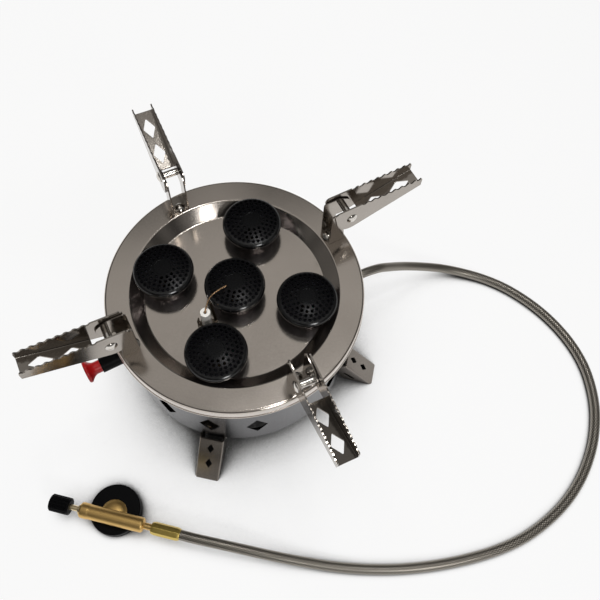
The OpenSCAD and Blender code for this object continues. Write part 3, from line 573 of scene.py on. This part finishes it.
# %% Tray
RIM_Z, FLOOR_Z, TRAY_R, SHEET = 108.0, 100.0, 90.0, 0.8
LIP = 10.0
DISH_R, MOUTH_R = 63.7, 72.7
SLOPE = math.degrees(math.atan2(RIM_Z - FLOOR_Z, MOUTH_R - DISH_R))
BEND = 2.0
HEM = 0.9
HEM_TURN = math.degrees(math.acos(SHEET / 2 / HEM))
wall_low = DISH_R - BEND * math.tan(math.radians(SLOPE / 2))
wall_high = MOUTH_R + BEND * math.tan(math.radians(SLOPE / 2))
tray_outline = (
    [(0, FLOOR_Z)]
    + arc((wall_low, FLOOR_Z + BEND), BEND, -90, SLOPE - 90)
    + arc((wall_high, RIM_Z - BEND), BEND, 90 + SLOPE, 90)
    + arc((TRAY_R - BEND, RIM_Z - BEND), BEND, 90, 0, 8)
    + arc((TRAY_R - SHEET / 2, RIM_Z - LIP + HEM), HEM, HEM_TURN, -180 - HEM_TURN, 14)
    + arc((TRAY_R - BEND, RIM_Z - BEND), BEND - SHEET, 0, 90, 8)
    + arc((wall_high, RIM_Z - BEND), BEND - SHEET, 90, 90 + SLOPE)
    + arc((wall_low, FLOOR_Z + BEND), BEND + SHEET, SLOPE - 90, -90)
    + [(0, FLOOR_Z - SHEET)])
HEADS = [(0.0, 0.0), (50.8, 0.0), (0.0, 50.8), (-50.8, 0.0), (0.0, -50.8)]
ELECTRODE = (-13.3, -27.0)


def drill(places, depth):
    """Upright cylinders as a tool: each place is (x, y, middle height, radius)."""
    tool = bmesh.new()
    for x, y, z, r in places:
        bmesh.ops.create_cone(
            tool, cap_ends=True, segments=48, radius1=r * MM, radius2=r * MM,
            depth=depth * MM, matrix=Matrix.Translation(Vector((x, y, z)) * MM))
    return tool


RIVET_R = 78.0
CUP_HOLE, TUBE_HOLE, RIVET_HOLE = 9.35, 3.55, 2.02
tray_holes = [(x, y, FLOOR_Z, CUP_HOLE) for x, y in HEADS]
tray_holes.append((*ELECTRODE, FLOOR_Z, TUBE_HOLE))
tray_holes += [(RIVET_R * math.cos(a), RIVET_R * math.sin(a), RIM_Z, RIVET_HOLE)
               for a in (math.pi / 4 * odd for odd in (1, 3, 5, 7))]
tray_piece = place(
    "pressed_tray", cut(lathe(tray_outline, 192), drill(tray_holes, 10)), tray_steel,
    "stove", replaces=["rim_tray"], smooth=40)
print("tray:", len(tray_piece.data.polygons), "faces")

# %% [markdown]
# ## Burner caps
# Each cap is pressed from sheet: a shallow crown full of flame holes, a plain disc
# in its middle, a round shoulder and a skirt that is rolled in under the cup's
# edge. The holes are punched from above, which draws their edges down a little,
# so the punches are slightly wider at the top.

# %% Caps
CAP_TOP, SHOULDER = 118.2, 3.2
SHOULDER_AT = (17.8, 112.52)
CROWN_R = 68.3
ROWS, FIRST_ROW, ROW_STEP = 4, 8.3, 3.0
FIRST_COUNT, COUNT_STEP = 14, 6
SEAM = 1.1  # degrees; keeps the blank's own edges clear of the punches' corners


def crown(r, down=0.0):
    """A point of the crown at a radius, or at a depth below it."""
    return (r, CAP_TOP - CROWN_R + math.sqrt(CROWN_R ** 2 - r * r) - down)


cap_outline = (
    [(0, CAP_TOP - 0.3), (5.2, CAP_TOP - 0.33), (5.6, CAP_TOP - 0.42), (5.8, CAP_TOP - 0.42)]
    + [crown(r) for r in (6.1, 8, 10, 12, 14, 16, 17.5)]
    + arc(SHOULDER_AT, SHOULDER, 74, 0, 14)
    + arc((20.7, 112.0), 0.3, 0, -120, 4)
    + arc(SHOULDER_AT, SHOULDER - 0.8, 0, 74, 7)
    + [crown(r, 0.8) for r in (17.5, 14, 11, 8, 6)] + [(0, CAP_TOP - 1.1)])


def punches():
    """One punch for each flame hole: straight, and wider at its top."""
    single = bpy.data.meshes.new("punch")
    punch = lathe([(0, -4), (1, -4), (1, -0.22), (1.4, 0.5), (0, 0.5)], 16)
    punch.to_mesh(single)
    punch.free()
    tool = bmesh.new()
    for row in range(ROWS):
        count = FIRST_COUNT + COUNT_STEP * row
        radius = FIRST_ROW + ROW_STEP * row
        for i in range(count):
            turn = 2 * math.pi * (i + row / 2) / count
            where = (radius * math.cos(turn), radius * math.sin(turn), crown(radius)[1])
            tool.from_mesh(single)
            tool.verts.ensure_lookup_table()
            bmesh.ops.translate(
                tool, verts=tool.verts[-len(single.vertices):], vec=Vector(where) * MM)
    return tool


cap_shape = cut(shift(lathe(cap_outline, 96), 0, 0, turn=SEAM), punches())
print("cap:", len(cap_shape.faces), "faces")
for k, (x, y) in enumerate(HEADS):
    turned = shift(cap_shape.copy(), x, y, turn=90 * (k - 1) if k else 0)
    place(f"punched_cap_{k + 1}", turned, cap_black, "stove",
          replaces=[f"burner_cap_{k + 1}"], smooth=30)
cap_shape.free()

# %% [markdown]
# ## Pot arms
# Each arm is a channel, blanked and folded from 1 mm sheet: a web with two diamond
# windows, and two cheeks whose top edges are toothed so that a pot can't slide.
# The side view is extruded across, the channel's inside is taken out of it, and
# the folds get the wide outer and narrow inner roundings that bending leaves.

# %% Arm values
ARM_W, ARM_SHEET = 15.0, 1.0
ARM_TOP, ARM_REACH, WEB_TIP = 145.5, 146.0, 29.5
FOLD, KNUCKLE_R, PIN_HOLE = (90.8, 133.2), 11.5, 2.08
WEB_SLOPE = 16.5
SWING = (-5.0, -9.0, -8.0, -8.5)
TEETH, FIRST_TIP, FIRST_VALLEY, TOOTH_PITCH = 9, 96.8, 99.5, 5.4
TOOTH_FLAT, TOOTH_DEPTH = 0.6, 1.4
WINDOWS, WINDOW_LONG, WINDOW_WIDE, WINDOW_CORNER = (114.0, 133.5), 8.0, 4.4, 0.9
OUTER_BEND, INNER_BEND, CUT_EDGE = 1.3, 0.5, 0.16
# The channel's inside is open at the back and above, and below as far as its web.
WEB_FROM, BACK, BEYOND, ABOVE = 102.0, 60.0, 151.0, 154.5
LONG_EDGE = 15 * MM


def web_z(s):
    """Height of the web's underside, at a distance from the stove's axis."""
    return RIM_Z + WEB_TIP - (ARM_REACH - s) * math.tan(math.radians(WEB_SLOPE))


def plate(points, width):
    """Extrudes an outline of (x, z) across Y, centred."""
    shape = bmesh.new()
    dots = [shape.verts.new((x * MM, -width / 2 * MM, z * MM)) for x, z in points]
    grown = bmesh.ops.extrude_face_region(shape, geom=[shape.faces.new(dots)])
    moved = [v for v in grown["geom"] if isinstance(v, bmesh.types.BMVert)]
    bmesh.ops.translate(shape, verts=moved, vec=(0, width * MM, 0))
    bmesh.ops.recalc_face_normals(shape, faces=shape.faces)
    return shape


def folds(shape, direction, low=0.0, high=99.0):
    """The long edges along a direction (x, z), between two distances from Y = 0."""
    ahead = Vector((direction[0], 0, direction[1])).normalized()
    return [e for e in shape.edges if e.calc_length() > LONG_EDGE
            and abs((e.verts[1].co - e.verts[0].co).normalized().dot(ahead)) > 0.999
            and all(low * MM < abs(v.co.y) < high * MM for v in e.verts)]


def window(s):
    """A diamond-shaped punch with rounded corners, square to the web."""
    punch = plate([(-WINDOW_LONG, 0), (0, WINDOW_WIDE), (WINDOW_LONG, 0), (0, -WINDOW_WIDE)], 8)
    bmesh.ops.rotate(punch, verts=punch.verts, matrix=Matrix.Rotation(math.pi / 2, 3, "X"))
    upright = [e for e in punch.edges if abs(e.verts[0].co.z - e.verts[1].co.z) > MM]
    round_off(punch, upright, WINDOW_CORNER, 3)
    bmesh.ops.rotate(punch, verts=punch.verts,
                     matrix=Matrix.Rotation(-math.radians(WEB_SLOPE), 3, "Y"))
    bmesh.ops.translate(punch, verts=punch.verts, vec=Vector((s, 0, web_z(s))) * MM)
    return punch


def cross_pin(x, z, radius, length=40.0):
    """A cylinder across Y, as a punch for a pin's hole."""
    rod = bmesh.new()
    bmesh.ops.create_cone(
        rod, cap_ends=True, segments=48, radius1=radius * MM, radius2=radius * MM,
        depth=length * MM, matrix=Matrix.Translation(Vector((x, 0, z)) * MM)
        @ Matrix.Rotation(math.pi / 2, 4, "X"))
    return rod


# %% One arm, and its four places
def side_view():
    """The arm's outline from the side: teeth, tip, knuckle and heel."""
    points = []
    for i in range(TEETH):
        tip, valley = FIRST_TIP + TOOTH_PITCH * i, FIRST_VALLEY + TOOTH_PITCH * i
        for middle, height in ((tip, ARM_TOP), (valley, ARM_TOP - TOOTH_DEPTH)):
            points += [(middle - TOOTH_FLAT, height), (middle + TOOTH_FLAT, height)]
    points += arc((144.0, 143.5), 2.0, 68, 0, 4)
    points.append((ARM_REACH, RIM_Z + WEB_TIP))
    # The knuckle's arc ends where a line from the heel just touches it.
    heel = (77.0, 142.5)
    away = math.degrees(math.atan2(heel[1] - FOLD[1], heel[0] - FOLD[0]))
    touch = away + math.degrees(math.acos(KNUCKLE_R / math.dist(heel, FOLD)))
    points += arc(FOLD, KNUCKLE_R, WEB_SLOPE - 90, touch - 360, 16)
    return points + [heel, (78.0, 144.4), (79.5, ARM_TOP)]


def arm_blank():
    """The toothed channel, drawn along X, with its windows and its pin's hole."""
    along = (math.cos(math.radians(WEB_SLOPE)), math.sin(math.radians(WEB_SLOPE)))
    blank = plate(side_view(), ARM_W)
    round_off(blank, folds(blank, along), OUTER_BEND, 4)
    skin = ARM_SHEET / along[0]
    inside = plate([(BACK, RIM_Z), (WEB_FROM, RIM_Z), (WEB_FROM, web_z(WEB_FROM) + skin),
                    (BEYOND, web_z(BEYOND) + skin), (BEYOND, ABOVE), (BACK, ABOVE)],
                   ARM_W - 2 * ARM_SHEET)
    round_off(inside, folds(inside, along), INNER_BEND, 3)
    channel = cut(blank, inside)
    for punch in [window(s) for s in WINDOWS] + [cross_pin(*FOLD, PIN_HOLE)]:
        channel = cut(channel, punch)
    bmesh.ops.remove_doubles(channel, verts=channel.verts, dist=SAME_POINT)
    round_off(channel, sharp_edges(channel, 40), CUT_EDGE, 2)
    return channel


def at_arm(shape, k):
    """Moves a shape drawn along X to arm k, with the arm's swing about its rivet."""
    shift(shape, -RIVET_R, 0)
    shift(shape, RIVET_R, 0, turn=SWING[k])
    return shift(shape, 0, 0, turn=45 + 90 * k)


arm_shape = arm_blank()
for k in range(4):
    stand_in(f"toothed_arm_{k + 1}", at_arm(arm_shape.copy(), k), f"arm_{k + 1}",
             smooth=30, outward=False)
print("arm:", len(arm_shape.faces), "faces")
arm_shape.free()

# %% [markdown]
# ## Brackets and legs
# Brackets and legs are smaller foldings of the same sheet. Their engineering
# pieces are rounded as they are: the folds of the legs widely, other edges finely.

# %% Brackets and legs
LEG_FACE = (23.5, -27.0)
LEG_INNER_BEND, LEG_OUTER_BEND = 0.4, 1.4
for k in range(1, 5):
    soften(f"arm_bracket_{k}", 0.22)
    soften(f"arm_pin_{k}", 0.1)
    leg = shift(merged(f"leg_{k}"), 0, 0, turn=-90 * (k - 1))
    round_off(leg, folds(leg, LEG_FACE, 8.0, 8.5), LEG_INNER_BEND, 2)
    round_off(leg, folds(leg, LEG_FACE, 9.0), LEG_OUTER_BEND, 4)
    soften(f"leg_{k}", 0.2, finish=leg_steel, shape=shift(leg, 0, 0, turn=90 * (k - 1)))

# %% [markdown]
# ## Electrode
# The spark jumps from a thin wire, bent over the middle burner, to the burner. The
# wire stands in a glazed tube, and the tube in a clip whose leaning strip earths it.
# Under the tray a soft lead brings the spark from the igniter.

# %% Electrode
CERAMIC_TOP, CERAMIC_LOW, CERAMIC_R = 118.5, 91.0, 3.5
WIRE_R, WIRE_PITCH = 0.5 * MM, 0.4 * MM
LEAD_R, LEAD_PITCH = 1.2 * MM, 1.0 * MM
ex, ey = ELECTRODE
ceramic_outline = (
    [(1.15, CERAMIC_TOP - 6), (1.15, CERAMIC_TOP - 0.15), (1.3, CERAMIC_TOP)]
    + arc((CERAMIC_R - 0.5, CERAMIC_TOP - 0.5), 0.5, 90, 0, 5)
    + [(CERAMIC_R, CERAMIC_LOW + 0.3), (CERAMIC_R - 0.3, CERAMIC_LOW), (0.85, CERAMIC_LOW),
       (0.85, CERAMIC_TOP - 6)])
stand_in("glazed_tube", shift(lathe(ceramic_outline, 48), ex, ey), "electrode_ceramic")
WIRE_OVER = 120.8
wire_way = [
    (ex, ey, CERAMIC_LOW + 2), (ex, ey, 105), (ex, ey, CERAMIC_TOP - 1.5),
    (ex, ey + 0.3, CERAMIC_TOP), (ex, ey + 1.5, WIRE_OVER - 0.9),
    (ex + 0.1, ey + 3.5, WIRE_OVER - 0.2), (ex + 0.5, ey + 8.9, WIRE_OVER),
    (ex + 2.2, ey + 13.2, WIRE_OVER - 0.2), (ex + 5.4, ey + 17.6, WIRE_OVER - 0.5),
    (ex + 9.1, ey + 21.8, WIRE_OVER - 1.1)]
wire_line = spline([Vector(p) * MM for p in wire_way], WIRE_PITCH)[0]
stand_in("spark_wire", sweep(wire_line, 12, lambda turn, walked: WIRE_R),
         "electrode_wire", nickel_wire, smooth=60)
soften("electrode_clip", 0.15, finish=tinted_steel)


def from_axis(r, azimuth, z):
    """A point at a radius and an azimuth round the stove's axis."""
    a = math.radians(azimuth)
    return (r * math.cos(a), r * math.sin(a), z)


IGNITER_AZ, IGNITER_Z, IGNITER_IN = 220.5, 86.0, 61.5
lead_way = [
    from_axis(IGNITER_IN, IGNITER_AZ, IGNITER_Z),
    from_axis(IGNITER_IN - 5, IGNITER_AZ, IGNITER_Z),
    (-34, -31.5, IGNITER_Z - 1.5), (-24.5, -28.5, IGNITER_Z - 3), (-18, -27.3, IGNITER_Z - 2.5),
    (-14.2, ey, IGNITER_Z - 0.5), (ex, ey, CERAMIC_LOW - 2.5), (ex, ey, CERAMIC_LOW)]
lead_line = spline([Vector(p) * MM for p in lead_way], LEAD_PITCH)[0]
stand_in("spark_lead", sweep(lead_line, 16, lambda turn, walked: LEAD_R),
         "ignition_lead", smooth=60)

# %% [markdown]
# ## Gas valve
# The valve's barrel is turned from brass bar, so it is a spin about its own axis,
# with the softened shoulders of a polished turning. A second spin, upright, makes
# the domed saddle and the threaded boss, and a Boolean joins the two.

# %% Valve barrel
VALVE_AZ, VALVE_Z, COLLAR_XY, VALVE_Y = -1.5, 14.4, (-58.7, -148.6), -155.2
BODY_END = -81.7
SADDLE_XY = (-58.6, -151.0)


def on_valve(shape, x):
    """Turns an upright spin onto the valve's axis and moves it to its distance x."""
    bmesh.ops.rotate(shape, verts=shape.verts, matrix=Matrix.Rotation(math.pi / 2, 3, "Y"))
    a = math.radians(VALVE_AZ)
    from_collar = x - COLLAR_XY[0]
    return shift(shape, COLLAR_XY[0] + from_collar * math.cos(a),
                 VALVE_Y + from_collar * math.sin(a), VALVE_Z, turn=VALVE_AZ)


barrel = on_valve(lathe([
    (0, 0.4), (3.65, 0.4), (3.7, 0), (4.3, 0), (5.0, 0.35), (5.5, 0.95), (5.7, 1.8), (5.7, 5.6),
    (5.62, 6.3), (5.42, 6.9), (5.4, 7.3), (5.4, 46.0), (5.3, 46.9), (4.9, 47.6), (4.3, 48.05),
    (3.6, 48.1), (2.7, 48.2), (2.42, 48.5), (2.4, 48.9), (2.4, 57.7), (2.1, 58), (0, 58)],
    72), BODY_END)
saddle = shift(lathe(
    [(0, 13.1)] + [(9.0 * math.sin(math.radians(a)), 9.7 + 3.4 * math.cos(math.radians(a)))
                   for a in range(10, 81, 10)]
    + [(9.0, 9.75), (9.25, 9.7), (9.4, 9.55), (9.4, 8.6), (9.3, 8.5), (7.3, 8.5), (7.3, 0.7),
       (7.1, 0.5), (5.7, 0.5), (5.5, 0.7), (5.5, 7.5), (6.0, 7.5), (6.0, 9.0), (0, 9.0)], 96),
    *SADDLE_XY)
stand_in("turned_valve_body", cut(barrel, saddle, "UNION"), "valve_body", brass, smooth=40)

# %% [markdown]
# The smaller turned and moulded parts are rounded from their engineering pieces.

# %% Small parts
for node, width in (
        ("leg_lugs", 0.2), ("base_plate", 0.15), ("cup_nuts", 0.3), ("gas_manifold", 0.3),
        ("gas_jets", 0.15), ("inlet_union", 0.25), ("inlet_nut", 0.25), ("stove_ferrule", 0.4),
        ("igniter_body", 0.3), ("igniter_nut", 0.25), ("igniter_button", 0.4),
        ("valve_knob", 0.2), ("canister_collar", 0.3), ("wind_shield", 0.2)):
    soften(node, width)
for k in range(1, 6):
    soften(f"burner_cup_{k}", 0.3, angle=25)
soften("valve_ferrule", 0.4)
soften("gland_nut", 0.15, finish=gland_brass)
soften("valve_spindle", 0.2, finish=gland_brass)

# %% [markdown]

# %% [markdown]
# ## Floor and light
# The stove stands on white paper. To keep the paper white without flooding the
# stove with light, part of what a camera or a mirror sees of it is a plain white
# glow, and the rest is real paper, which still takes the stove's shadow. Where the
# sky above is closed off, as under the stove, the glow fades out and the paper's
# colour is painted darker: painted shade on top of the real shadow.


# %% Floor
FLOOR_HALF = 4.0
SHADE_REACH = 160 * MM
# Between these shares of open sky, the glow fades in and the paper's painted shade fades out.
GLOW_FADE, GLOW_MOST = (0.45, 0.8), 0.8
PAPER_SHADE_FADE, PAPER_SHADE_TONES = (0.35, 0.65), ("#505050", "#fafafa")


def white_floor():
    """White paper under the stove, as a stage that belongs to no body."""
    material, tree = blank_material("white paper sweep")
    glow = add(tree, "Emission", {"Color": (1, 1, 1, 1), "Strength": 1.0})
    ray = add(tree, "LightPath")
    seen = ray.outputs["Is Camera Ray"]
    for kind in ("Is Glossy Ray", "Is Transmission Ray"):
        seen = add(tree, "Math", {0: seen, 1: ray.outputs[kind]}, operation="ADD",
                   use_clamp=True).outputs[0]
    open_sky = add(tree, "AmbientOcclusion", {"Distance": SHADE_REACH},
                   samples=16).outputs["AO"]
    most = add(tree, "MapRange", {
        "Value": open_sky, "From Min": GLOW_FADE[0], "From Max": GLOW_FADE[1],
        "To Max": GLOW_MOST}, interpolation_type="SMOOTHSTEP")
    shaded = add(tree, "MapRange", {
        "Value": open_sky, "From Min": PAPER_SHADE_FADE[0], "From Max": PAPER_SHADE_FADE[1]},
        interpolation_type="SMOOTHSTEP")
    # Painted shade: the paper's colour goes from grey to white as the sky above opens.
    painted_shade_colour = add(tree, "Mix", {
        0: shaded.outputs[0], 6: linear(PAPER_SHADE_TONES[0]), 7: linear(PAPER_SHADE_TONES[1])},
        data_type="RGBA")
    paper = add(tree, "BsdfDiffuse", {"Color": painted_shade_colour.outputs[2]})
    share = add(tree, "Math", {0: seen, 1: most.outputs[0]}, operation="MULTIPLY")
    close_material(material, tree, add(tree, "MixShader", {
        0: share.outputs[0], 1: paper.outputs[0], 2: glow.outputs[0]}))
    shape = bmesh.new()
    bmesh.ops.create_grid(shape, x_segments=1, y_segments=1, size=FLOOR_HALF)
    mesh = bpy.data.meshes.new("floor")
    shape.to_mesh(mesh)
    shape.free()
    mesh.materials.append(material)
    floor = bpy.data.objects.new("floor", mesh)
    bpy.context.scene.collection.objects.link(floor)
    return floor


white_floor()

# %% [markdown]
# Polished metal shows the room, so the room is what lights it: a bright ceiling
# with one small lamp, darker walls below it, and a window low on the right in
# front, which draws the narrow highlights on bends and shoulders. A wide lamp
# overhead lifts the paint and the paper, but stays out of the reflections.


# %% Lamps
def soft_lamp(name, place_at, aim, size, watts, mirrored=True):
    """A round lamp; one that isn't mirrored lights things but shows in no metal."""
    data = bpy.data.lights.new(name, "AREA")
    data.shape, data.size, data.energy = "DISK", size, watts
    lamp = bpy.data.objects.new(name, data)
    lamp.visible_glossy = mirrored
    turn = (Vector(aim) - Vector(place_at)).to_track_quat("-Z", "Y").to_matrix().to_4x4()
    lamp.matrix_world = Matrix.Translation(Vector(place_at)) @ turn
    bpy.context.scene.collection.objects.link(lamp)
    return lamp


soft_lamp("window lamp", (0.655, -0.838, 0.831), (0, 0, 0.08), 0.34, 3.2)
soft_lamp("ceiling lamp", (0.12, 0.2, 1.59), (0, 0, 0), 0.16, 2.0)
soft_lamp("overhead lamp", (-0.2, 0.3, 1.6), (0, 0, 0), 1.2, 13, mirrored=False)

# %% [markdown]
# The ceiling is brightest where it starts, and a little darker overhead. Between
# it and the plain foot of the walls the room is panelled, light and dark by turns,
# and a level sheet of steel shows the panels as soft bands on its far side.


# %% Room
# Each row is a height, as the upward part of a direction, and the light from there.
ROOM = [(0.0, 0.26), (0.15, 0.17), (0.3, 0.11), (0.62, 0.1), (0.8, 0.3), (0.86, 0.44),
        (0.9, 0.42), (0.95, 0.31)]
WARMTH = (1.0, 0.98, 0.95)
PANELS, PANEL_AZIMUTH, PANEL_DARK = 18, 111, 0.2
PANELS_START, PANELS_STOP = (0.3, 0.6), (0.86, 0.82)


def room():
    """The surroundings: a ramp of light by height, broken up by upright panels."""
    world = bpy.data.worlds.new("room")
    world.use_nodes = True
    tree = world.node_tree
    tree.nodes.clear()
    towards = add(tree, "TexCoord").outputs["Generated"]
    height = add(tree, "SeparateXYZ", {"Vector": towards}).outputs["Z"]
    shade = add(tree, "ValToRGB", {"Fac": height})
    ramp = shade.color_ramp
    while len(ramp.elements) < len(ROOM):
        ramp.elements.new(0.5)
    for element, (at, level) in zip(ramp.elements, ROOM):
        element.position = at
        element.color = [level * part for part in WARMTH] + [1]
    around = add(tree, "TexGradient", {"Vector": towards}, gradient_type="RADIAL")
    wave = add(tree, "Math", {
        0: around.outputs["Fac"], 1: 2 * math.pi * PANELS,
        2: -math.radians(PANEL_AZIMUTH * PANELS)}, operation="MULTIPLY_ADD")
    band = add(tree, "Math", {0: wave.outputs[0]}, operation="COSINE")
    panel = add(tree, "MapRange", {
        "Value": band.outputs[0], "From Min": -1.0, "From Max": 1.0,
        "To Min": PANEL_DARK, "To Max": 1.0})
    fades = [add(tree, "MapRange", {"Value": height, "From Min": a, "From Max": b},
                 interpolation_type="SMOOTHSTEP") for a, b in (PANELS_START, PANELS_STOP)]
    part = add(tree, "Math", {0: fades[0].outputs[0], 1: fades[1].outputs[0]},
               operation="MULTIPLY")
    panelled = add(tree, "Mix", {
        0: part.outputs[0], 2: 1.0, 3: panel.outputs[0]}, data_type="FLOAT")
    sky = add(tree, "Background", {
        "Color": shade.outputs["Color"], "Strength": panelled.outputs[0]})
    add(tree, "OutputWorld", {"Surface": sky.outputs[0]})
    bpy.context.scene.world = world


room()
bpy.context.scene.view_settings.view_transform = "Standard"

# %% [markdown]
# ## Finish

# %% Finish
print("size written")
